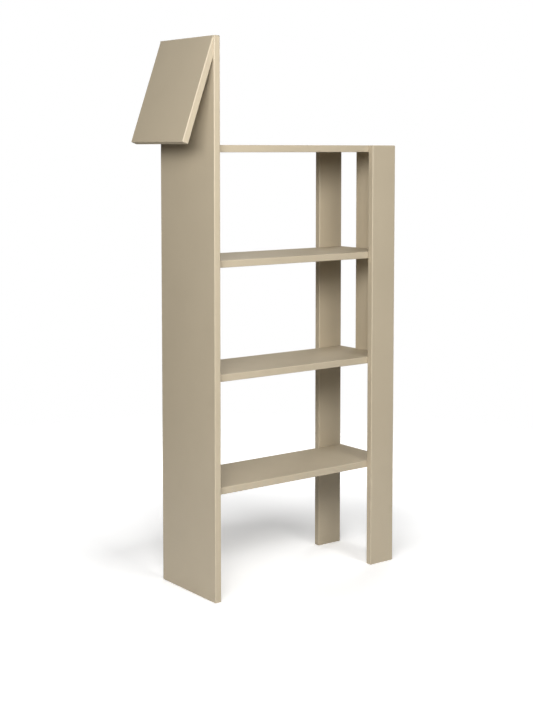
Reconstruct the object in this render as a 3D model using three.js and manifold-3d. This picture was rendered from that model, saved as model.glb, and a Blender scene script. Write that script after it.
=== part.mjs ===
// An open bookcase for a child's room, in the outline of a long-necked animal. One tall panel is the
// neck, a board sloping down from its top is the head, four shelves are the body, two uprights are
// the legs and a short board on the free end of the shelves is the tail.
//
// Millimetres, +Z up. The front faces -Y and +X is to the right. While it is built, the origin is
// the neck's outer, front, bottom corner; the last lines move it to the middle of the footprint.

import * as THREE from 'three';
import { RoundedBoxGeometry } from 'three/addons/geometries/RoundedBoxGeometry.js';
import { mergeVertices } from 'three/addons/utils/BufferGeometryUtils.js';
import Module from 'manifold-3d';

const wasm = await Module();
wasm.setup();

// ---------------------------------------------------------------- driving dimensions

// The boards.
const board = 18; // thickness of every board
const arris = 2; // rounding of every board's edges
const neckHeight = 1400; // floor to the top of the neck
const depth = 240; // front edge to rear edge of the neck
const shelfCount = 4;
const shelfPitch = 284; // floor to the first shelf's top, and from each shelf's top to the next
const shelfLength = 575; // from the neck to the free end
const legWidth = 80;
const tailWidth = 80;
const tailBays = 2; // how many bays the tail runs down past, from the top shelf
const headLength = 272; // down the outer face
const headSlope = THREE.MathUtils.degToRad(19.4); // from upright
const seam = 0.2; // between one board and the next, once it is pulled up tight

// What holds them together.
const clearance = 0.15; // around everything that sits in a drilled hole
const endRoom = 1; // left at the bottom of a blind hole
const camRadius = 7.4;
const camInset = 34; // a shelf's edge to the middle of a cam
const camHeadroom = 4.5; // how far a cam's hole goes past the middle of the board
const camRecess = 0.3; // a cam lies this far inside the underside
const boltHeadRadius = 3.2;
const boltNeckRadius = 1.9;
const boltShankRadius = 3.4;
const boltThreadRadius = 2.6;
const boltThreadLength = 11;
const dowelRadius = 4;
const dowelLength = 30;
const dowelInPanel = 10; // the part of a dowel that is not in the shelf
const neckFixingInset = 45; // a shelf's front or rear edge to its fixing in the neck
const legFixingOffset = 16; // middle of a leg to its bolt, and to its dowel on the other side
const screwHeadRadius = 4;
const screwShankRadius = 2;
const screwGrip = 10; // how far a screw goes into the head board
const screwPoint = 3;
const screwSink = 0.2; // a screw's head lies this far inside the face
const screwRise = 8; // above the lowest line where head and neck touch
const screwInset = 50; // from the front and rear edges of the neck

// How finely round things are cut.
const roundSides = 10;
const camSides = 16;
const arrisSteps = 1;
const overshoot = 5; // how far a cutting tool reaches past the wood

// ---------------------------------------------------------------- sizes that follow

const middleDepth = depth / 2;
const shelfStart = board + seam;
const shelfEnd = shelfStart + shelfLength;
const shelfFront = board + seam;
const shelfBack = depth - board - seam;
const legHeight = shelfCount * shelfPitch;
const legMiddle = shelfEnd - legWidth / 2;
const tailHeight = tailBays * shelfPitch + board; // down to the underside of its lowest shelf
const tailStart = shelfEnd + seam;
const camHoleDepth = board / 2 + camHeadroom;
const bevelHeight = board / Math.sin(headSlope); // of the head's sawn end, up the neck
const screwHeight = neckHeight - bevelHeight + screwRise;

// ---------------------------------------------------------------- materials

const lacquer = new THREE.MeshStandardMaterial({ color: 0xcbbfa6, roughness: 0.45, metalness: 0 });
const zinc = new THREE.MeshStandardMaterial({ color: 0xa9abad, roughness: 0.4, metalness: 1 });
const steel = new THREE.MeshStandardMaterial({ color: 0xc4c6c8, roughness: 0.3, metalness: 1 });
const beech = new THREE.MeshStandardMaterial({ color: 0xd2ab7b, roughness: 0.7, metalness: 0 });

// ---------------------------------------------------------------- cutting and placing

// A closed geometry as a solid that can be cut.
function solidFrom(geometry) {
  const shell = geometry.clone();
  shell.deleteAttribute('normal');
  shell.deleteAttribute('uv');
  const merged = mergeVertices(shell);
  const vertProperties = new Float32Array(merged.attributes.position.array);
  const triVerts = new Uint32Array(merged.index.array);
  return new wasm.Manifold(new wasm.Mesh({ numProp: 3, vertProperties, triVerts }));
}

// A solid back as a geometry.
function geometryFrom(solid) {
  const mesh = solid.getMesh();
  const geometry = new THREE.BufferGeometry();
  geometry.setAttribute('position', new THREE.BufferAttribute(mesh.vertProperties, 3));
  geometry.setIndex(new THREE.BufferAttribute(mesh.triVerts, 1));
  geometry.computeVertexNormals();
  return geometry;
}

// One geometry with others cut out of it.
function cut(geometry, tools) {
  let solid = solidFrom(geometry);
  for (const tool of tools) {
    solid = solid.subtract(solidFrom(tool));
  }
  return geometryFrom(solid);
}

// A round hole from a point on a face, into the wood. It starts a little outside the face.
function drill(start, way, length, radius, sides = roundSides) {
  const tool = new THREE.CylinderGeometry(radius, radius, length + overshoot, sides);
  tool.translate(0, (length - overshoot) / 2, 0);
  tool.applyQuaternion(new THREE.Quaternion().setFromUnitVectors(new THREE.Vector3(0, 1, 0), way));
  return tool.translate(start.x, start.y, start.z);
}

// A turned piece: its outline is given as [radius, place along +X] pairs.
function turned(outline) {
  const points = outline.map(([radius, along]) => new THREE.Vector2(radius, along));
  return new THREE.LatheGeometry(points, roundSides).rotateZ(-Math.PI / 2);
}

const bookcase = new THREE.Group();

function add(name, geometry, material, place, turn = 0) {
  const mesh = new THREE.Mesh(geometry, material);
  mesh.name = name;
  mesh.position.copy(place);
  mesh.rotation.z = turn;
  bookcase.add(mesh);
  return mesh;
}

// A board with rounded edges and its drilled holes. Its size and place are in the bookcase's frame.
function addBoard(name, size, centre, holes) {
  const blank = new RoundedBoxGeometry(size.x, size.y, size.z, arrisSteps, arris);
  const tools = holes.map((hole) => hole.clone().translate(-centre.x, -centre.y, -centre.z));
  return add(name, cut(blank, tools), lacquer, centre);
}

// ---------------------------------------------------------------- the fastenings

// The cross for the screwdriver in a cam or a screw, cut into a face that looks down -X.
function crossRecess(width, slot, deep) {
  const upright = new THREE.BoxGeometry(2 * deep, width, slot);
  const level = new THREE.BoxGeometry(2 * deep, slot, width);
  return [upright, level];
}

// A cam stands on +Z, from the underside up, and takes its bolt from +X.
const camHeight = camHoleDepth - camRecess - clearance;
const camBoltHeight = board / 2 - camRecess;
const boltHeadBack = -2.4; // the bolt's head starts behind the middle of the cam
const boltHeadFront = 0.6;
const boltTaper = 1.2; // from the head to the neck, along the bolt
const camRecessWidth = 6;
const camRecessSlot = 1.2;
const camRecessDepth = 2.5;

function camGeometry() {
  const body = new THREE.CylinderGeometry(camRadius, camRadius, camHeight, camSides);
  body.rotateX(Math.PI / 2).translate(0, 0, camHeight / 2);
  const chamberStart = boltHeadBack - clearance;
  const chamberEnd = boltHeadFront + boltTaper + clearance;
  const chamberLength = chamberEnd - chamberStart;
  const chamber = new THREE.CylinderGeometry(
    boltHeadRadius + clearance, boltHeadRadius + clearance, chamberLength, roundSides);
  chamber.rotateZ(-Math.PI / 2).translate(chamberStart + chamberLength / 2, 0, camBoltHeight);
  const mouth = new THREE.CylinderGeometry(
    boltNeckRadius + clearance, boltNeckRadius + clearance, camRadius + overshoot, roundSides);
  mouth.rotateZ(-Math.PI / 2).translate((camRadius + overshoot) / 2, 0, camBoltHeight);
  const cross = crossRecess(camRecessWidth, camRecessSlot, camRecessDepth);
  cross.forEach((slot) => slot.rotateY(Math.PI / 2));
  return cut(body, [chamber, mouth, ...cross]);
}

// A bolt lies along +X from the middle of its cam: head, neck, shank in the shelf, thread in the panel.
function boltGeometry() {
  const shankStart = camRadius + 2 * clearance;
  const shankEnd = camInset - clearance;
  const threadEnd = camInset + seam + boltThreadLength;
  const chamfer = 1;
  return turned([
    [0, boltHeadBack],
    [boltHeadRadius, boltHeadBack],
    [boltHeadRadius, boltHeadFront],
    [boltNeckRadius, boltHeadFront + boltTaper],
    [boltNeckRadius, shankStart],
    [boltShankRadius, shankStart + chamfer],
    [boltShankRadius, shankEnd],
    [boltThreadRadius, shankEnd],
    [boltThreadRadius, threadEnd - chamfer],
    [0, threadEnd],
  ]);
}

// A dowel lies along +X across the seam.
function dowelGeometry() {
  const start = dowelInPanel - dowelLength;
  const chamfer = 1;
  return turned([
    [0, start],
    [dowelRadius - chamfer, start],
    [dowelRadius, start + chamfer],
    [dowelRadius, dowelInPanel - chamfer],
    [dowelRadius - chamfer, dowelInPanel],
    [0, dowelInPanel],
  ]);
}

// A countersunk screw lies along -X from the neck's inner face.
const screwLength = board + seam + screwGrip - screwSink;
const screwHeadDepth = screwHeadRadius - screwShankRadius;
const screwRecessWidth = 4.4;
const screwRecessSlot = 0.9;
const screwRecessDepth = 1.6;

function screwGeometry() {
  const body = turned([
    [0, 0],
    [screwHeadRadius, 0],
    [screwShankRadius, screwHeadDepth],
    [screwShankRadius, screwLength - screwPoint],
    [0, screwLength],
  ]);
  return cut(body, crossRecess(screwRecessWidth, screwRecessSlot, screwRecessDepth));
}

// ---------------------------------------------------------------- where the fastenings go

// Each fixing is a point on a shelf's edge, the board it goes into, and the shelves that it is on,
// which is every shelf if nothing is said. Each board has its own way out of the shelves.
const ways = {
  neck: new THREE.Vector3(-1, 0, 0),
  front: new THREE.Vector3(0, -1, 0),
  rear: new THREE.Vector3(0, 1, 0),
  tail: new THREE.Vector3(1, 0, 0),
};
const up = new THREE.Vector3(0, 0, 1);
const boltEdge = legMiddle - legFixingOffset;
const dowelEdge = legMiddle + legFixingOffset;
const every = Array.from({ length: shelfCount }, (_, index) => index + 1);
const tailEnds = [shelfCount - tailBays, shelfCount];
const tailBetween = every.filter((shelf) => shelf > tailEnds[0] && shelf < tailEnds[1]);
const fixings = [
  { kind: 'cam', name: 'neck_front', to: 'neck', x: shelfStart, y: shelfFront + neckFixingInset },
  { kind: 'cam', name: 'neck_rear', to: 'neck', x: shelfStart, y: shelfBack - neckFixingInset },
  { kind: 'dowel', name: 'neck', to: 'neck', x: shelfStart, y: middleDepth },
  { kind: 'cam', name: 'front_leg', to: 'front', x: boltEdge, y: shelfFront },
  { kind: 'dowel', name: 'front_leg', to: 'front', x: dowelEdge, y: shelfFront },
  { kind: 'cam', name: 'rear_leg', to: 'rear', x: boltEdge, y: shelfBack },
  { kind: 'dowel', name: 'rear_leg', to: 'rear', x: dowelEdge, y: shelfBack },
  { kind: 'cam', name: 'tail', to: 'tail', x: shelfEnd, y: middleDepth, on: tailEnds },
  { kind: 'dowel', name: 'tail', to: 'tail', x: shelfEnd, y: middleDepth, on: tailBetween },
];

// The holes that each board gets, filled as the fixings are placed.
const holes = { neck: [], front: [], rear: [], tail: [] };

// Both of these add a fixing and its holes in the shelf, and give back its hole in the next board.
function addCamAndBolt(name, edge, way, turn, shelfHoles) {
  const middle = edge.clone().addScaledVector(way, -camInset);
  const underside = middle.clone().setZ(edge.z - board / 2);
  add(`cam_${name}`, camGeometry(), zinc, underside.clone().addScaledVector(up, camRecess), turn);
  add(`bolt_${name}`, boltGeometry(), steel, middle, turn);
  shelfHoles.push(drill(underside, up, camHoleDepth, camRadius + clearance, camSides));
  const inward = way.clone().negate();
  shelfHoles.push(drill(edge, inward, camInset, boltShankRadius + clearance));
  const panelFace = edge.clone().addScaledVector(way, seam);
  return drill(panelFace, way, boltThreadLength + endRoom, boltThreadRadius + clearance);
}

function addDowel(name, edge, way, turn, shelfHoles) {
  add(`dowel_${name}`, dowelGeometry(), beech, edge, turn);
  const inShelf = dowelLength - dowelInPanel + endRoom;
  shelfHoles.push(drill(edge, way.clone().negate(), inShelf, dowelRadius + clearance));
  const panelFace = edge.clone().addScaledVector(way, seam);
  return drill(panelFace, way, dowelInPanel + endRoom, dowelRadius + clearance);
}

// ---------------------------------------------------------------- the boards

for (const shelf of every) {
  const middle = shelf * shelfPitch - board / 2;
  const shelfHoles = [];
  for (const { kind, name, to, x, y, on } of fixings) {
    if (on && !on.includes(shelf)) continue;
    const way = ways[to];
    const turn = Math.atan2(way.y, way.x);
    const addFixing = kind === 'cam' ? addCamAndBolt : addDowel;
    const edge = new THREE.Vector3(x, y, middle);
    holes[to].push(addFixing(`${shelf}_${name}`, edge, way, turn, shelfHoles));
  }
  const size = new THREE.Vector3(shelfLength, shelfBack - shelfFront, board);
  const centre = new THREE.Vector3(shelfStart + shelfLength / 2, middleDepth, middle);
  addBoard(`shelf_${shelf}`, size, centre, shelfHoles);
}

// The legs stand against the front and rear edges of the shelves.
const legSize = new THREE.Vector3(legWidth, board, legHeight);
addBoard('front_leg', legSize, new THREE.Vector3(legMiddle, board / 2, legHeight / 2), holes.front);
addBoard('rear_leg', legSize, new THREE.Vector3(legMiddle, depth - board / 2, legHeight / 2), holes.rear);

// The tail hangs on the free ends of the shelves, level with the top shelf. Its two ends are bolted.
const tailSize = new THREE.Vector3(board, tailWidth, tailHeight);
const tailCentre = new THREE.Vector3(tailStart + board / 2, middleDepth, legHeight - tailHeight / 2);
addBoard('tail_board', tailSize, tailCentre, holes.tail);

// The screws that hold the head go through the neck, from its inner face. The tool that sinks their
// heads is a cone that widens at the same slope as far as it reaches out of the wood.
const screwPlaces = { front: screwInset, rear: depth - screwInset };
const screwBore = screwShankRadius + clearance;
const sinkMouth = screwHeadRadius + clearance + screwSink + overshoot;
const sinkDepth = sinkMouth - screwBore;
const headHoles = [];
for (const [name, y] of Object.entries(screwPlaces)) {
  const face = new THREE.Vector3(board, y, screwHeight);
  const inside = face.clone().addScaledVector(ways.neck, screwSink);
  add(`head_screw_${name}`, screwGeometry(), steel, inside, Math.PI);
  holes.neck.push(drill(face, ways.neck, board + overshoot, screwBore));
  const sink = new THREE.CylinderGeometry(screwBore, sinkMouth, sinkDepth, roundSides);
  sink.rotateZ(Math.PI / 2).translate(board + overshoot - sinkDepth / 2, y, screwHeight);
  holes.neck.push(sink);
  const headFace = new THREE.Vector3(-seam, y, screwHeight);
  headHoles.push(drill(headFace, ways.neck, screwGrip + endRoom, screwBore));
}

// The neck stands on the floor, on its own bottom edge.
const neckSize = new THREE.Vector3(board, depth, neckHeight);
addBoard('neck_panel', neckSize, new THREE.Vector3(board / 2, middleDepth, neckHeight / 2), holes.neck);

// The head hangs from the neck's top, outer edge. Its own frame has its origin there: the outer face
// runs down -Z, and the wood is on the +X side. What lies past the neck's face is sawn off.
const headJoint = new THREE.Vector3(0, middleDepth, neckHeight);
const headBlank = new RoundedBoxGeometry(board, depth, headLength + board, arrisSteps, arris);
headBlank.translate(board / 2, 0, (board - headLength) / 2);
const saw = new THREE.BoxGeometry(headLength, 2 * depth, 4 * headLength);
saw.translate(headLength / 2 - seam, 0, 0);
const headTools = headHoles.map((hole) => hole.translate(-headJoint.x, -headJoint.y, -headJoint.z));
headTools.push(saw);
headTools.forEach((tool) => tool.rotateY(-headSlope));
const head = add('head_board', cut(headBlank, headTools), lacquer, headJoint);
head.rotation.y = headSlope;

// ---------------------------------------------------------------- the origin

// The bookcase stands on z = 0, with the middle of its footprint on the origin.
const extent = new THREE.Box3().setFromObject(bookcase, true);
const footprint = extent.getCenter(new THREE.Vector3());
bookcase.position.set(-footprint.x, -footprint.y, -extent.min.z);

export default bookcase;
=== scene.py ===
# %% [markdown]
# # An open bookcase in the outline of a long-necked animal
#
# One tall panel is the neck. A short board that slopes down from its top is the head, four shelves are
# the body, two uprights are the legs, and a short board on the free end of the shelves is the tail.
# Every board is fibreboard with softened edges under one satin lacquer, and flat-pack fastenings hold
# the boards together from inside.
#
# The sizes were settled in CAD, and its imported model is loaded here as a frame. Each piece below asks
# the frame where it goes, so nothing is measured twice and nothing can drift out of place.

# %% Load the frame
from math import pi, radians

import bmesh
import bpy
from mathutils import Matrix, Vector


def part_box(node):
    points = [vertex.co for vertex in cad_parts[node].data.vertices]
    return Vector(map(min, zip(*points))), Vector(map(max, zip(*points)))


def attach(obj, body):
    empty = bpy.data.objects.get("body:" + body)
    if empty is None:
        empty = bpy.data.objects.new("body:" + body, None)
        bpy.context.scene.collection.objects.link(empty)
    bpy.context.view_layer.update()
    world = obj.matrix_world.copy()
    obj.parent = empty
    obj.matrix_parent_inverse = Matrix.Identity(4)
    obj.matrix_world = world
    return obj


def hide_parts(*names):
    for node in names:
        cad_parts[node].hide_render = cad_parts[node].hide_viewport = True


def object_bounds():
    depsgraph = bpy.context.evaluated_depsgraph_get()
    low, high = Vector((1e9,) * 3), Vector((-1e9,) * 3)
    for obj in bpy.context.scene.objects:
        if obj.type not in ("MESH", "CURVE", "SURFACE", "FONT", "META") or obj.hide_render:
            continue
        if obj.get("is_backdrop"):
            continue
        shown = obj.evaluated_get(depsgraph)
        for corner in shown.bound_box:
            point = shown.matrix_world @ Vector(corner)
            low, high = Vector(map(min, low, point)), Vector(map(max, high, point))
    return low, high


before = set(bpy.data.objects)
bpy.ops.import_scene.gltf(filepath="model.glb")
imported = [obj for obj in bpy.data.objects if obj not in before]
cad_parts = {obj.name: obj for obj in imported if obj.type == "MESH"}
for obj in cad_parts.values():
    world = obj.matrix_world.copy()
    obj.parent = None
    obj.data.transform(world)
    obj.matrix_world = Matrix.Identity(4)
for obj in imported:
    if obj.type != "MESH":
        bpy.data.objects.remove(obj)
cad_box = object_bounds()
MM = 0.001  # the frame is in metres, and furniture is drawn in millimetres
print(len(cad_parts), "nodes, overall", [round(size / MM) for size in cad_box[1] - cad_box[0]], "mm")

# %% [markdown]
# ## The camera
#
# A furniture studio stands well back and zooms in, so that upright edges stay nearly parallel. The
# camera is at the height of the top shelf, turned to see the outside of the neck and the fronts of
# the shelves. It looks slightly down, and a small vertical shift of the film, as on a view camera,
# brings the whole height back into the picture without tilting it further.

# %% Camera
CAMERA_PLACE = (-2.1147, -2.7770, 1.1244)
CAMERA_TURN = 37.144  # degrees to the right of straight ahead
CAMERA_DIP = 4.252  # degrees below level
LENS = 67.53
FILM_SHIFT = -0.15

camera_data = bpy.data.cameras.new("camera")
camera_data.lens = LENS
camera_data.shift_y = FILM_SHIFT
camera = bpy.data.objects.new("camera", camera_data)
camera.location = CAMERA_PLACE
camera.rotation_euler = (radians(90 - CAMERA_DIP), 0, radians(-CAMERA_TURN))
bpy.context.scene.collection.objects.link(camera)
bpy.context.scene.camera = camera
print("camera", round(camera.location.length, 2), "m from the middle of the footprint")

# %% [markdown]
# ## Node groups that the materials share
#
# No real surface is the same all over. Spray coats settle a little unevenly, castings and plating have
# cloudy patches, and wood has streaks. All of these are noise with its own size, shape and range, so
# one group serves every material. It reads Object coordinates, which on these pieces are metres in the
# room, so the pattern has the same scale on a long board and on a small bolt.

# %% Group: patches
NOISE_LOW = 0.3  # most of the noise lies between these two values
NOISE_HIGH = 0.7


def new_group(name, inputs, outputs):
    """An empty shader group with its sockets, and its two end nodes."""
    group = bpy.data.node_groups.new(name, "ShaderNodeTree")
    for socket_name, kind, value in inputs:
        socket = group.interface.new_socket(socket_name, in_out="INPUT", socket_type=kind)
        if value is not None:
            socket.default_value = value
    for socket_name, kind in outputs:
        group.interface.new_socket(socket_name, in_out="OUTPUT", socket_type=kind)
    return group, group.nodes.new("NodeGroupInput"), group.nodes.new("NodeGroupOutput")


patches, start, end = new_group(
    "patches",
    [("Vector", "NodeSocketVector", None), ("Scale", "NodeSocketFloat", 10.0),
     ("Detail", "NodeSocketFloat", 2.0), ("Low", "NodeSocketFloat", 0.0), ("High", "NodeSocketFloat", 1.0)],
    [("Value", "NodeSocketFloat")])
noise = patches.nodes.new("ShaderNodeTexNoise")
spread = patches.nodes.new("ShaderNodeMapRange")
spread.inputs["From Min"].default_value = NOISE_LOW
spread.inputs["From Max"].default_value = NOISE_HIGH
for name in ("Vector", "Scale", "Detail"):
    patches.links.new(start.outputs[name], noise.inputs[name])
patches.links.new(noise.outputs["Fac"], spread.inputs["Value"])
patches.links.new(start.outputs["Low"], spread.inputs["To Min"])
patches.links.new(start.outputs["High"], spread.inputs["To Max"])
patches.links.new(spread.outputs["Result"], end.inputs["Value"])
print("group", patches.name, "with", len(patches.nodes), "nodes")

# %% [markdown]
# A sprayed coat dries with a faint dimple that is called orange peel, a casting is pebbled, and a
# machined end has fine marks. None of them changes the outline, so they are a bump, not geometry. The
# group turns a noise height into a normal, and each material says how wide and how deep it is.

# %% Group: fine relief
relief, start, end = new_group(
    "fine relief",
    [("Vector", "NodeSocketVector", None), ("Scale", "NodeSocketFloat", 400.0),
     ("Depth", "NodeSocketFloat", 0.00001), ("Strength", "NodeSocketFloat", 1.0)],
    [("Normal", "NodeSocketVector")])
noise = relief.nodes.new("ShaderNodeTexNoise")
noise.inputs["Detail"].default_value = 2.0
bump = relief.nodes.new("ShaderNodeBump")
relief.links.new(start.outputs["Vector"], noise.inputs["Vector"])
relief.links.new(start.outputs["Scale"], noise.inputs["Scale"])
relief.links.new(noise.outputs["Fac"], bump.inputs["Height"])
relief.links.new(start.outputs["Depth"], bump.inputs["Distance"])
relief.links.new(start.outputs["Strength"], bump.inputs["Strength"])
relief.links.new(bump.outputs["Normal"], end.inputs["Normal"])
print("group", relief.name, "with", len(relief.nodes), "nodes")

# %% [markdown]
# ## Four finishes
#
# Each finish is a Principled shader with the two groups in front of it. The same few lines place a
# group, feed it the stretched coordinates and set its values, so they are helpers. A stretch of
# (1, 1, 1) leaves a pattern even, and a larger number on one axis draws it out across that axis.

# %% Material helpers
def new_material(name):
    """A material with nodes: the material, its Principled shader and its coordinates."""
    material = bpy.data.materials.new(name)
    material.use_nodes = True
    shader = material.node_tree.nodes["Principled BSDF"]
    place = material.node_tree.nodes.new("ShaderNodeTexCoord")
    return material, shader, place.outputs["Object"]


def stretch(material, vector, amount):
    """Coordinates scaled by a different amount on each axis."""
    mapping = material.node_tree.nodes.new("ShaderNodeMapping")
    mapping.inputs["Scale"].default_value = amount
    material.node_tree.links.new(vector, mapping.inputs["Vector"])
    return mapping.outputs["Vector"]


def use_group(material, group, vector, **values):
    """A group placed in a material, with its values set. Gives its first output."""
    node = material.node_tree.nodes.new("ShaderNodeGroup")
    node.node_tree = group
    material.node_tree.links.new(vector, node.inputs["Vector"])
    for name, value in values.items():
        node.inputs[name].default_value = value
    return node.outputs[0]


def mix_colours(material, factor, first, second):
    """A colour between two others, which may be plain colours or outputs of other nodes."""
    mix = material.node_tree.nodes.new("ShaderNodeMix")
    mix.data_type = "RGBA"
    material.node_tree.links.new(factor, mix.inputs["Factor"])
    for socket, colour in ((mix.inputs[6], first), (mix.inputs[7], second)):
        if isinstance(colour, tuple):
            socket.default_value = colour
        else:
            material.node_tree.links.new(colour, socket)
    return mix.outputs[2]


# %% [markdown]
# The boards' lacquer is a warm beige with a satin sheen. A spray gun leaves slightly thicker and
# thinner passes, so the beige drifts by a percent or two over a hand's width, and the sheen with it.
# On the rounded edges the beige is painted a touch lighter, a painted highlight for the light that the
# rounding catches, which the eye reads as a fine line. The attribute "arris", made with the boards below,
# says where those edges are.

# %% Lacquer
LACQUER_DEEP = (0.491, 0.425, 0.318, 1)
LACQUER_PALE = (0.510, 0.442, 0.331, 1)
# painted highlight: the lighter beige that the rounded edges get
LACQUER_ARRIS_HIGHLIGHT = (0.520, 0.452, 0.342, 1)
ARRIS = "arris"

lacquer, shader, vector = new_material("satin lacquer")
links = lacquer.node_tree.links
coat = use_group(lacquer, patches, vector, Scale=7.0, Detail=3.0)
body_colour = mix_colours(lacquer, coat, LACQUER_DEEP, LACQUER_PALE)
on_arris = lacquer.node_tree.nodes.new("ShaderNodeAttribute")
on_arris.attribute_name = ARRIS
# the rounded edges take the painted highlight colour
colour = mix_colours(lacquer, on_arris.outputs["Fac"], body_colour, LACQUER_ARRIS_HIGHLIGHT)
sheen = use_group(lacquer, patches, vector, Scale=11.0, Detail=2.0, Low=0.36, High=0.44)
peel = use_group(lacquer, relief, vector, Scale=420.0, Depth=0.00003, Strength=0.35)
links.new(colour, shader.inputs["Base Color"])
links.new(sheen, shader.inputs["Roughness"])
links.new(peel, shader.inputs["Normal"])
shader.inputs["IOR"].default_value = 1.48
print("made", lacquer.name)

# %% [markdown]
# The cams are cast zinc, grey and faintly pebbled. The bolts and screws are steel with a bright
# plating. Both are metals, so their colour sits in the reflection: a high metallic value, a light grey
# colour, and patches in the roughness, where real parts are handled, tumbled and packed in bags.

# %% Metals
METALS = {
    # name: (darker colour, lighter colour, smoothest, roughest, relief's scale, relief's depth)
    "cast zinc": ((0.46, 0.47, 0.48, 1), (0.56, 0.57, 0.58, 1), 0.38, 0.52, 900.0, 0.00006),
    "plated steel": ((0.62, 0.63, 0.64, 1), (0.72, 0.73, 0.74, 1), 0.22, 0.34, 1800.0, 0.00002),
}


def metal(name):
    """A metal with cloudy colour and roughness and its own fine relief."""
    dark, light, smooth, rough, relief_scale, relief_depth = METALS[name]
    material, shader, vector = new_material(name)
    links = material.node_tree.links
    shader.inputs["Metallic"].default_value = 1.0
    clouds = use_group(material, patches, vector, Scale=220.0, Detail=3.0)
    links.new(mix_colours(material, clouds, dark, light), shader.inputs["Base Color"])
    worn = use_group(material, patches, vector, Scale=380.0, Detail=2.0, Low=smooth, High=rough)
    links.new(worn, shader.inputs["Roughness"])
    pebble = use_group(material, relief, vector, Scale=relief_scale, Depth=relief_depth, Strength=0.6)
    links.new(pebble, shader.inputs["Normal"])
    print("made", material.name)
    return material


zinc = metal("cast zinc")
steel = metal("plated steel")

# %% [markdown]
# Dowels are beech, a pale wood with short darker flecks. The flecks are patches squeezed on two axes,
# which leaves them long on the third. The wood is unfinished, so it is rough, with a shallow grain.

# %% Beech
BEECH_DARK = (0.50, 0.31, 0.17, 1)
BEECH_LIGHT = (0.66, 0.45, 0.27, 1)
GRAIN_STRETCH = (1.0, 1.0, 6.0)

beech, shader, vector = new_material("turned beech")
links = beech.node_tree.links
along = stretch(beech, vector, GRAIN_STRETCH)
flecks = use_group(beech, patches, along, Scale=350.0, Detail=4.0)
links.new(mix_colours(beech, flecks, BEECH_DARK, BEECH_LIGHT), shader.inputs["Base Color"])
dryness = use_group(beech, patches, along, Scale=200.0, Detail=2.0, Low=0.62, High=0.78)
links.new(dryness, shader.inputs["Roughness"])
grain = use_group(beech, relief, along, Scale=500.0, Depth=0.00008, Strength=0.7)
links.new(grain, shader.inputs["Normal"])
print("made", beech.name)

# %% [markdown]
# ## Turning a bmesh into a finished piece
#
# A bmesh is a mesh on the workbench. When its shape is done, its doubles are merged and its faces
# turned outwards. Everything is shaded smooth except creases sharper than a limit, and a Weighted
# Normal modifier lets each large flat face decide the shading along its rounded border. Without it
# the flats would look pillowed. The object itself stays at the origin, with its place in its mesh.

# %% Piece helper
CREASE = radians(35)
MERGE = 0.001 * MM


def make_piece(name, bm, material, slot, *nodes):
    """A bmesh as an object that stands for some nodes of the frame."""
    bmesh.ops.remove_doubles(bm, verts=bm.verts, dist=MERGE)
    bmesh.ops.recalc_face_normals(bm, faces=bm.faces)
    for face in bm.faces:
        face.smooth = True
    mesh = bpy.data.meshes.new(name)
    bm.to_mesh(mesh)
    bm.free()
    mesh.set_sharp_from_angle(angle=CREASE)
    mesh.materials.append(material)
    piece = bpy.data.objects.new(name, mesh)
    bpy.context.scene.collection.objects.link(piece)
    shading = piece.modifiers.new("flats decide", "WEIGHTED_NORMAL")
    shading.keep_sharp = True
    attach(piece, "root")
    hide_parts(*nodes)
    return piece


# %% [markdown]
# Holes are easiest as solids. A tool, such as a cylinder, is laid where the drill goes, and a Boolean
# modifier takes it away from the wood. The result is read back at once, so no live modifier is left.
# The exact solver copes with tools that touch each other.

# %% Cutting helper
def as_object(name, bm):
    """A bmesh as a plain object in the scene."""
    mesh = bpy.data.meshes.new(name)
    bm.to_mesh(mesh)
    bm.free()
    made = bpy.data.objects.new(name, mesh)
    bpy.context.scene.collection.objects.link(made)
    return made


def cut_away(bm, tool):
    """The first bmesh with the second taken out of it."""
    wood = as_object("wood", bm)
    cutter = as_object("cutter", tool)
    boolean = wood.modifiers.new("cut", "BOOLEAN")
    boolean.operation = "DIFFERENCE"
    boolean.solver = "EXACT"
    boolean.use_self = True
    boolean.object = cutter
    bpy.context.view_layer.update()
    result = bmesh.new()
    result.from_object(wood, bpy.context.evaluated_depsgraph_get())
    for used in (wood, cutter):
        mesh = used.data
        bpy.data.objects.remove(used)
        bpy.data.meshes.remove(mesh)
    return result


# %% [markdown]
# ## The drills
#
# Each fastening runs from a shelf into the board beside it. The frame says where each one is, and its
# name says which way it points. A hole through two boards is one straight hole, so it is one tool, cut
# from both. All the tools go into one mesh, and later every board is cut by the whole set: a board
# only loses what passes through it.

# %% Where the fastenings are
CLEARANCE = 0.15 * MM  # around everything that sits in a hole
END_ROOM = 1 * MM  # left free at the bottom of a blind hole
DRILL_SIDES = 40
OVERSHOOT = 4 * MM  # how far a tool reaches out of the wood

WAYS = {
    "neck": Vector((-1, 0, 0)),
    "front_leg": Vector((0, -1, 0)),
    "rear_leg": Vector((0, 1, 0)),
    "tail": Vector((1, 0, 0)),
}


def way_of(node):
    """Which way a fastening points, out of its shelf."""
    return next(way for place, way in WAYS.items() if place in node)


def nodes_named(kind):
    """The frame's nodes of one kind, in order."""
    return sorted(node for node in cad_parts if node.startswith(kind + "_"))


def reach(node, way):
    """How far along its way a fastening starts and ends."""
    low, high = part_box(node)
    return sorted((low.dot(way), high.dot(way)))


def on_axis(node, way, distance):
    """The point on a fastening's own axis at some distance along its way."""
    low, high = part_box(node)
    middle = (low + high) / 2
    return middle + way * (distance - middle.dot(way))


cams = nodes_named("cam")
dowels = nodes_named("dowel")
screws = nodes_named("head_screw")
print(len(cams), "cams and bolts,", len(dowels), "dowels,", len(screws), "screws")

# %% Drill helper
def lie_along(way, place):
    """The matrix that turns +Z to a way and moves the origin to a place."""
    return Matrix.Translation(place) @ way.to_track_quat("Z", "Y").to_matrix().to_4x4()


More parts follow.
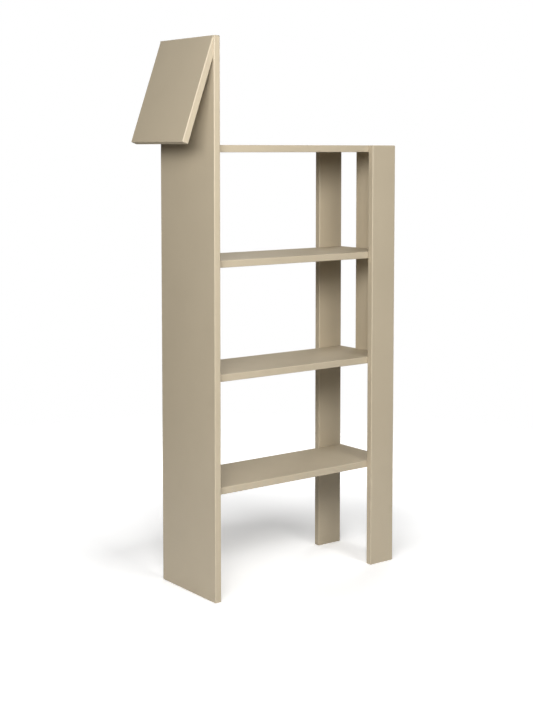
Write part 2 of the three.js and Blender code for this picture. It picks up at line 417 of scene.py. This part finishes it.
def drill(bm, first, last, radius, last_radius=None):
    """A round tool from one point to another, straight or tapered."""
    way = (last - first).normalized()
    bmesh.ops.create_cone(
        bm, cap_ends=True, segments=DRILL_SIDES, radius1=radius,
        radius2=radius if last_radius is None else last_radius,
        depth=(last - first).length, matrix=lie_along(way, (first + last) / 2))


# %% [markdown]
# A cam needs a wide hole up from the underside. Its bolt needs a clear bore from there to the shelf's
# edge, and a narrower one for its thread in the next board. The wider bore stops inside the hairline
# seam between the boards, so it never marks the neighbour.

# %% Drill for the cams and bolts
CAM_RADIUS = 7.4 * MM
CAM_RECESS = 0.3 * MM
CAM_INSET = 34 * MM  # from the middle of a cam to the shelf's edge
SEAM = 0.2 * MM
SHANK_RADIUS = 3.4 * MM
THREAD_RADIUS = 2.6 * MM

drills = bmesh.new()
for cam in cams:
    way = way_of(cam)
    bolt = cam.replace("cam", "bolt")
    low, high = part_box(cam)
    foot = Vector(((low.x + high.x) / 2, (low.y + high.y) / 2, low.z - CAM_RECESS))
    top = foot + Vector((0, 0, high.z - foot.z + CLEARANCE))
    drill(drills, foot - Vector((0, 0, OVERSHOOT)), top, CAM_RADIUS + CLEARANCE)
    edge = foot.dot(way) + CAM_INSET
    seam_middle = on_axis(bolt, way, edge + SEAM / 2)
    drill(drills, on_axis(bolt, way, foot.dot(way)), seam_middle, SHANK_RADIUS + CLEARANCE)
    bottom = on_axis(bolt, way, reach(bolt, way)[1] + END_ROOM)
    drill(drills, seam_middle, bottom, THREAD_RADIUS + CLEARANCE)
print("drills for", len(cams), "cams and their bolts")

# %% [markdown]
# A dowel's hole is as plain as the dowel. The two screws of the head go through the neck, where a
# countersink opens towards the inside of the bookcase, and on into the sawn end of the head.

# %% Drill for the dowels and screws
DOWEL_RADIUS = 4 * MM
SCREW_HEAD_RADIUS = 4 * MM
SCREW_SHANK_RADIUS = 2 * MM
SCREW_SINK = 0.2 * MM
INWARD = WAYS["neck"]  # the way a head screw is driven

for dowel in dowels:
    way = way_of(dowel)
    first, last = reach(dowel, way)
    drill(drills, on_axis(dowel, way, first - END_ROOM), on_axis(dowel, way, last + END_ROOM),
          DOWEL_RADIUS + CLEARANCE)
for screw in screws:
    face, tip = reach(screw, INWARD)
    mouth = on_axis(screw, INWARD, face - SCREW_SINK - OVERSHOOT)
    mouth_radius = SCREW_HEAD_RADIUS + CLEARANCE + SCREW_SINK + OVERSHOOT
    bore = SCREW_SHANK_RADIUS + CLEARANCE
    narrow = mouth + INWARD * (mouth_radius - bore)
    drill(drills, mouth, narrow, mouth_radius, bore)
    drill(drills, mouth, on_axis(screw, INWARD, tip + END_ROOM), bore)
print("drills in all:", len(drills.faces) // (DRILL_SIDES + 2))

# %% [markdown]
# ## The boards
#
# A board is a cube stretched to its box, with every edge rounded over. A router would leave a 2 mm
# round, and five steps are enough to make it look round up close. The bevel operator hands back the
# faces that it made. They are marked in a face attribute, which is how the lacquer finds the edges.

# %% Board blanks
ARRIS_RADIUS = 2 * MM
ARRIS_STEPS = 5


def mark_arris(bm, faces):
    """Writes 1 on the rounded edges' faces. Other faces keep 0."""
    layer = bm.faces.layers.float[ARRIS]
    for face in faces:
        face[layer] = 1.0


def board_blank(low, high):
    """A board with rounded edges that fills a box."""
    bm = bmesh.new()
    bm.faces.layers.float.new(ARRIS)
    bmesh.ops.create_cube(bm, size=1)
    bmesh.ops.scale(bm, vec=high - low, verts=bm.verts)
    bmesh.ops.translate(bm, vec=(low + high) / 2, verts=bm.verts)
    rounded = bmesh.ops.bevel(
        bm, geom=bm.edges[:], offset=ARRIS_RADIUS, offset_type="OFFSET", affect="EDGES",
        segments=ARRIS_STEPS, profile=0.5, material=-1)
    # these faces get the lacquer's painted highlight
    mark_arris(bm, rounded["faces"])
    return bm


# %% Neck, shelves, legs and tail
UPRIGHTS = ["neck_panel", "front_leg", "rear_leg", "tail_board"]
shelves = nodes_named("shelf")

for node in UPRIGHTS + shelves:
    board = cut_away(board_blank(*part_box(node)), drills.copy())
    piece = make_piece("lacquered_" + node, board, lacquer, "lacquered_board", node)
    print(piece.name, len(piece.data.polygons), "faces")

# %% [markdown]
# ## The head
#
# The head is the same board, hung from the top outer corner of the neck. It is built upright, with
# its outer face on x = 0 and its top edge at the origin, a little too long at the top. After it is
# swung outwards, one plane saws the spare wood off, flat against the neck. Sawing with bisect_plane
# leaves the end open, so its rim is filled and then broken with a very small bevel, as sandpaper does.

# %% Head
HEAD_SLOPE = radians(19.4)  # from upright
HEAD_INSET = 3 * MM  # set back from the neck's front and rear edges
HEAD_LENGTH = 272 * MM  # down the outer face
BOARD = 18 * MM
SANDED = 0.25 * MM
SANDED_STEPS = 2

neck_low, neck_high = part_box("neck_panel")
hinge_line = Vector((neck_low.x, 0, neck_high.z))
half_width = (neck_high.y - neck_low.y) / 2 - HEAD_INSET
head = board_blank(
    Vector((0, -half_width, -HEAD_LENGTH)), Vector((BOARD, half_width, BOARD)))
bmesh.ops.rotate(head, verts=head.verts, cent=(0, 0, 0), matrix=Matrix.Rotation(HEAD_SLOPE, 3, "Y"))
bmesh.ops.translate(head, vec=hinge_line, verts=head.verts)
saw_line = hinge_line - Vector((SEAM, 0, 0))
sawn = bmesh.ops.bisect_plane(
    head, geom=head.verts[:] + head.edges[:] + head.faces[:], plane_co=saw_line,
    plane_no=(1, 0, 0), clear_outer=True)
rim = [edge for edge in sawn["geom_cut"] if isinstance(edge, bmesh.types.BMEdge)]
bmesh.ops.contextual_create(head, geom=rim)
rim = [edge for edge in rim if edge.is_valid]
broken = bmesh.ops.bevel(
    head, geom=rim, offset=SANDED, offset_type="OFFSET", affect="EDGES", segments=SANDED_STEPS,
    profile=0.5, material=-1, clamp_overlap=True)
# the sanded rim is marked too, so it gets the same painted highlight
mark_arris(head, broken["faces"])
head = cut_away(head, drills.copy())
head = make_piece("lacquered_head", head, lacquer, "lacquered_board", "head_board")
print(head.name, len(head.data.polygons), "faces")

# %% [markdown]
# ## Turned pieces
#
# Bolts, screws and cams are round, so half of the outline is drawn and spun all the way round. The
# outline is a list of (radius, distance along) pairs that starts and ends on the axis. A thread is
# drawn as a row of V grooves. A true thread climbs as it goes round, but at this size inside the wood
# rings look the same and stay closed and light.

# %% Turning helper
TURN_STEPS = 32


def turned(outline):
    """A closed solid of revolution about +Z, from (radius, distance along) pairs."""
    bm = bmesh.new()
    points = [bm.verts.new((radius, 0, along)) for radius, along in outline]
    edges = [bm.edges.new(pair) for pair in zip(points, points[1:])]
    bmesh.ops.spin(
        bm, geom=points + edges, cent=(0, 0, 0), axis=(0, 0, 1), dvec=(0, 0, 0), angle=2 * pi,
        steps=TURN_STEPS, use_merge=True, use_duplicate=False)
    bmesh.ops.remove_doubles(bm, verts=bm.verts, dist=MERGE)
    bmesh.ops.recalc_face_normals(bm, faces=bm.faces)
    return bm


def thread(radius, groove, first, last, pitch):
    """Outline points of a thread's ridges and grooves."""
    count = int((last - first) / pitch)
    points = []
    for turn in range(count):
        root = first + turn * pitch
        points += [(radius - groove, root), (radius, root + pitch / 2)]
    return points + [(radius - groove, last)]


# %% [markdown]
# A screwdriver's cross narrows as it goes in. The tool that cuts it is two crossed blades, each a
# cube whose far end is scaled down. The blades lie on +Z, with their wide end on the face at z = 0.

# %% Cross recess helper
CROSS_TAPER = 0.55  # of the width, at the far end


def cross_tool(width, blade, depth):
    """A tapered cross for a recess that goes down +Z from z = 0."""
    bm = bmesh.new()
    for size in ((width, blade, 2 * depth), (blade, width, 2 * depth)):
        made = bmesh.ops.create_cube(bm, size=1)["verts"]
        bmesh.ops.scale(bm, vec=size, verts=made)
        far_end = [vert for vert in made if vert.co.z > 0]
        bmesh.ops.scale(bm, vec=(CROSS_TAPER, CROSS_TAPER, 1), verts=far_end)
    return bm


# %% [markdown]
# ## Cams
#
# A cam is a small zinc drum in the underside of a shelf. The head of the bolt sits in a chamber inside
# it, and a turn with a screwdriver pulls the bolt, and the board on it, up tight. What shows from
# below is its face, with a broken edge, a shallow ring where it was cast, and the cross.

# %% Cams
CAM_BREAK = 0.4 * MM
RING_RADIUS = 5.6 * MM
RING_WIDTH = 0.5 * MM
RING_DEPTH = 0.25 * MM
BOLT_HEAD_RADIUS = 3.2 * MM
BOLT_NECK_RADIUS = 1.9 * MM
BOLT_HEAD_BACK = -2.4 * MM  # the bolt's head starts behind the middle of the cam
BOLT_HEAD_FRONT = 0.6 * MM
BOLT_TAPER = 1.2 * MM
CAM_CROSS = (6 * MM, 1.3 * MM, 2.4 * MM)  # width, blade, depth

for cam in cams:
    way = way_of(cam)
    low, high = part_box(cam)
    height = high.z - low.z
    foot = Vector(((low.x + high.x) / 2, (low.y + high.y) / 2, low.z))
    drum = turned([
        (0, 0), (RING_RADIUS - RING_WIDTH, 0), (RING_RADIUS - RING_WIDTH / 2, RING_DEPTH),
        (RING_RADIUS, 0), (CAM_RADIUS - CAM_BREAK, 0), (CAM_RADIUS, CAM_BREAK),
        (CAM_RADIUS, height - CAM_BREAK), (CAM_RADIUS - CAM_BREAK, height), (0, height)])
    hollow = cross_tool(*CAM_CROSS)
    level = on_axis(cam.replace("cam", "bolt"), way, 0).z - low.z
    middle = Vector((0, 0, level))
    drill(hollow, middle + way * (BOLT_HEAD_BACK - CLEARANCE),
          middle + way * (BOLT_HEAD_FRONT + BOLT_TAPER + CLEARANCE), BOLT_HEAD_RADIUS + CLEARANCE)
    drill(hollow, middle, middle + way * (CAM_RADIUS + OVERSHOOT), BOLT_NECK_RADIUS + CLEARANCE)
    drum = cut_away(drum, hollow)
    bmesh.ops.translate(drum, vec=foot, verts=drum.verts)
    piece = make_piece("zinc_" + cam, drum, zinc, "cam_zinc", cam)
print(len(cams), "cams of", len(piece.data.polygons), "faces each")

# %% [markdown]
# ## Bolts
#
# A connecting bolt has a rounded head and a thin neck for the cam to catch, a collar that centres it
# in the shelf's bore, and a coarse thread for the next board.

# %% Bolts
BOLT_THREAD_PITCH = 1.8 * MM
BOLT_GROOVE = 0.55 * MM
SOFTENED = 0.6 * MM
TIP_LENGTH = 1.2 * MM

collar_start = CAM_RADIUS + 2 * CLEARANCE
collar_end = CAM_INSET - CLEARANCE
for cam in cams:
    bolt = cam.replace("cam", "bolt")
    way = way_of(bolt)
    back, tip = reach(bolt, way)
    thread_end = BOLT_HEAD_BACK + tip - back
    outline = [
        (0, BOLT_HEAD_BACK), (BOLT_HEAD_RADIUS - SOFTENED, BOLT_HEAD_BACK),
        (BOLT_HEAD_RADIUS, BOLT_HEAD_BACK + SOFTENED), (BOLT_HEAD_RADIUS, BOLT_HEAD_FRONT),
        (BOLT_NECK_RADIUS, BOLT_HEAD_FRONT + BOLT_TAPER), (BOLT_NECK_RADIUS, collar_start),
        (SHANK_RADIUS, collar_start + SOFTENED), (SHANK_RADIUS, collar_end - SOFTENED),
        (SHANK_RADIUS - SOFTENED, collar_end)]
    outline += thread(THREAD_RADIUS, BOLT_GROOVE, collar_end, thread_end - TIP_LENGTH, BOLT_THREAD_PITCH)
    outline.append((0, thread_end))
    rod = turned(outline)
    bmesh.ops.transform(
        rod, matrix=lie_along(way, on_axis(bolt, way, back - BOLT_HEAD_BACK)), verts=rod.verts)
    piece = make_piece("steel_" + bolt, rod, steel, "plated_steel", bolt)
print(len(cams), "bolts of", len(piece.data.polygons), "faces each")

# %% [markdown]
# ## Dowels
#
# A dowel is fluted so that glue and air can get past it. A circle with every second point pulled in is
# its section. That section is extruded along, with a small chamfer at both ends to help it in.

# %% Dowels
FLUTES = 20
FLUTE_DEPTH = 0.92  # of the radius, at the bottom of a flute
DOWEL_CHAMFER = 1 * MM


def extrude_on(bm, face, length, widen):
    """Extrudes an end face along +Z and scales it about the axis. Gives the new end."""
    made = bmesh.ops.extrude_face_region(bm, geom=[face])["geom"]
    bmesh.ops.delete(bm, geom=[face], context="FACES_ONLY")
    verts = [item for item in made if isinstance(item, bmesh.types.BMVert)]
    bmesh.ops.translate(bm, vec=(0, 0, length), verts=verts)
    bmesh.ops.scale(bm, vec=(widen, widen, 1), verts=verts)
    return next(item for item in made if isinstance(item, bmesh.types.BMFace))


for dowel in dowels:
    way = way_of(dowel)
    first, last = reach(dowel, way)
    peg = bmesh.new()
    ring = bmesh.ops.create_circle(peg, cap_ends=True, radius=DOWEL_RADIUS, segments=2 * FLUTES)["verts"]
    bmesh.ops.scale(peg, vec=(FLUTE_DEPTH, FLUTE_DEPTH, 1), verts=ring[::2])
    narrow = (DOWEL_RADIUS - DOWEL_CHAMFER) / DOWEL_RADIUS
    bmesh.ops.scale(peg, vec=(narrow, narrow, 1), verts=ring)
    bottom = peg.faces[:]
    bmesh.ops.duplicate(peg, geom=bottom)  # closes the end that the extrusions leave open
    end_face = extrude_on(peg, bottom[0], DOWEL_CHAMFER, 1 / narrow)
    end_face = extrude_on(peg, end_face, last - first - 2 * DOWEL_CHAMFER, 1)
    extrude_on(peg, end_face, DOWEL_CHAMFER, narrow)
    bmesh.ops.transform(peg, matrix=lie_along(way, on_axis(dowel, way, first)), verts=peg.verts)
    piece = make_piece("beech_" + dowel, peg, beech, "beech", dowel)
print(len(dowels), "dowels of", len(piece.data.polygons), "faces each")

# %% [markdown]
# ## The head's screws
#
# The two screws are the only fastenings that show on an upright face, high up on the inside of the
# neck. They are countersunk, with a cross recess, a coarse thread and a point.

# %% Screws
SCREW_RIM = 0.2 * MM
SCREW_PITCH = 1.6 * MM
SCREW_GROOVE = 0.5 * MM
SCREW_POINT = 3 * MM
SCREW_PLAIN = 9 * MM  # the part under the head that has no thread
SCREW_CROSS = (4.4 * MM, 0.95 * MM, 1.7 * MM)  # width, blade, depth

for screw in screws:
    face, tip = reach(screw, INWARD)
    length = tip - face
    outline = [
        (0, 0), (SCREW_HEAD_RADIUS - SCREW_RIM, 0), (SCREW_HEAD_RADIUS, SCREW_RIM / 2),
        (SCREW_SHANK_RADIUS, SCREW_HEAD_RADIUS - SCREW_SHANK_RADIUS + SCREW_RIM / 2),
        (SCREW_SHANK_RADIUS, SCREW_PLAIN)]
    outline += thread(SCREW_SHANK_RADIUS, SCREW_GROOVE, SCREW_PLAIN, length - SCREW_POINT, SCREW_PITCH)
    outline.append((0, length))
    pin = cut_away(turned(outline), cross_tool(*SCREW_CROSS))
    bmesh.ops.transform(pin, matrix=lie_along(INWARD, on_axis(screw, INWARD, face)), verts=pin.verts)
    piece = make_piece("steel_" + screw, pin, steel, "plated_steel", screw)
print(len(screws), "screws of", len(piece.data.polygons), "faces each")

# %% [markdown]
# ## Floor
#
# The bookcase stands on a sheet of white paper, which throws some light back up onto the feet and the
# undersides. The sheet is not large, so it fades out into the white room and no horizon shows. Paper
# under studio lamps is brighter than a picture can show, and only its shadows come out grey. A little
# light of its own, which only the camera sees, lifts it to that level.

# %% Floor
PAPER_RADIUS = 2.2
PAPER_SOLID = 1.0  # the paper starts to fade this far from its middle
PAPER_WHITE = (0.90, 0.90, 0.90, 1)
PAPER_SIDES = 96
PAPER_LIFT = (0.30, 0.95)  # beside the bookcase, and where the lamps reach less
LIFT_FROM = 0.45
LIFT_TO = 1.3

floor_mesh = bmesh.new()
bmesh.ops.create_circle(floor_mesh, cap_ends=True, radius=PAPER_RADIUS, segments=PAPER_SIDES)
floor = as_object("floor", floor_mesh)
floor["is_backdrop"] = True

paper, shader, vector = new_material("white paper")
nodes = paper.node_tree.nodes
links = paper.node_tree.links
shader.inputs["Base Color"].default_value = PAPER_WHITE
shader.inputs["Roughness"].default_value = 0.9
shader.inputs["Specular IOR Level"].default_value = 0.0
from_middle = nodes.new("ShaderNodeVectorMath")
from_middle.operation = "LENGTH"
fade = nodes.new("ShaderNodeMapRange")
fade.interpolation_type = "SMOOTHSTEP"
fade.inputs["From Min"].default_value = PAPER_SOLID
fade.inputs["From Max"].default_value = PAPER_RADIUS
fade.inputs["To Min"].default_value = 1.0
fade.inputs["To Max"].default_value = 0.0
links.new(vector, from_middle.inputs[0])
links.new(from_middle.outputs["Value"], fade.inputs["Value"])
links.new(fade.outputs["Result"], shader.inputs["Alpha"])
rise = nodes.new("ShaderNodeMapRange")
rise.inputs["From Min"].default_value = LIFT_FROM
rise.inputs["From Max"].default_value = LIFT_TO
rise.inputs["To Min"].default_value = PAPER_LIFT[0]
rise.inputs["To Max"].default_value = PAPER_LIFT[1]
ray = nodes.new("ShaderNodeLightPath")
lift = nodes.new("ShaderNodeMath")
lift.operation = "MULTIPLY"
links.new(from_middle.outputs["Value"], rise.inputs["Value"])
links.new(rise.outputs["Result"], lift.inputs[0])
links.new(ray.outputs["Is Camera Ray"], lift.inputs[1])
links.new(lift.outputs["Value"], shader.inputs["Emission Strength"])
shader.inputs["Emission Color"].default_value = (1, 1, 1, 1)
floor.data.materials.append(paper)
print("floor", PAPER_RADIUS, "m in radius")

# %% [markdown]
# ## Light
#
# Furniture is lit with a few large soft boxes. Three on the left, one of them near, shape the neck and
# the head, one in front reaches into the bays, and three weaker ones behind put a sheen on the tops
# of the shelves. Each is placed as a photographer would say it: so far round to the left of straight
# in front, so far above the middle of the bookcase, and at a distance. All of them face it.

# %% Lights
SUBJECT = Vector((0, 0, 0.75))
SOFT_BOXES = {
    # name: (degrees round to the left, degrees up, distance, side of the square, watts)
    "key": (40, 20, 3.2, 1.0, 46.5),
    "left": (60, 20, 3.2, 1.0, 34.5),
    "near_left": (40, 25, 1.9, 0.7, 9.5),
    "front": (0, 30, 3.2, 1.0, 39.5),
    "right_behind": (-120, 35, 3.2, 1.0, 18.5),
    "corner_behind": (-150, 35, 3.2, 1.0, 9.5),
    "behind": (180, 35, 3.2, 1.0, 9.0),
}
for name, (turn, rise, distance, side, watts) in SOFT_BOXES.items():
    data = bpy.data.lights.new(name, "AREA")
    data.shape = "SQUARE"
    data.size = side
    data.energy = watts
    lamp = bpy.data.objects.new(name, data)
    aim = Matrix.Rotation(radians(-turn), 4, "Z") @ Matrix.Rotation(radians(90 - rise), 4, "X")
    lamp.matrix_world = Matrix.Translation(SUBJECT) @ aim @ Matrix.Translation((0, 0, distance))
    bpy.context.scene.collection.objects.link(lamp)
    print(name, [round(value, 2) for value in lamp.matrix_world.translation])

# %% [markdown]
# The room is seen by the camera as pure white. The satin sheen sees it too, but faintly and warmer,
# since much of what a board reflects is the other boards. It doesn't light the bookcase, or it would
# wash out the shade under the shelves. Colours are shown without a film curve, and a display gamma a
# little under one gives the contrast of a printed page.

# %% The room
ROOM_GLEAM = 0.31
ROOM_COLOUR = (1, 1, 1, 1)
GLEAM_COLOUR = (1.0, 0.86, 0.62, 1)
PRINT_GAMMA = 0.9

world = bpy.data.worlds.new("studio")
bpy.context.scene.world = world
world.use_nodes = True
nodes = world.node_tree.nodes
links = world.node_tree.links
background = nodes["Background"]
ray = nodes.new("ShaderNodeLightPath")
seen_colour = mix_colours(world, ray.outputs["Is Glossy Ray"], ROOM_COLOUR, GLEAM_COLOUR)
seen = nodes.new("ShaderNodeMath")
seen.operation = "MULTIPLY_ADD"
seen.inputs[1].default_value = ROOM_GLEAM
links.new(seen_colour, background.inputs["Color"])
links.new(ray.outputs["Is Glossy Ray"], seen.inputs[0])
links.new(ray.outputs["Is Camera Ray"], seen.inputs[2])
links.new(seen.outputs["Value"], background.inputs["Strength"])
bpy.context.scene.view_settings.view_transform = "Standard"
bpy.context.scene.view_settings.gamma = PRINT_GAMMA
print("room seen as white, with a gleam of", ROOM_GLEAM)

# %% Size and finish
visual_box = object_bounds()
gaps = [abs(a - b) for corners in zip(cad_box, visual_box) for a, b in zip(*corners)]
print("largest difference", round(max(gaps) / MM, 3), "mm")
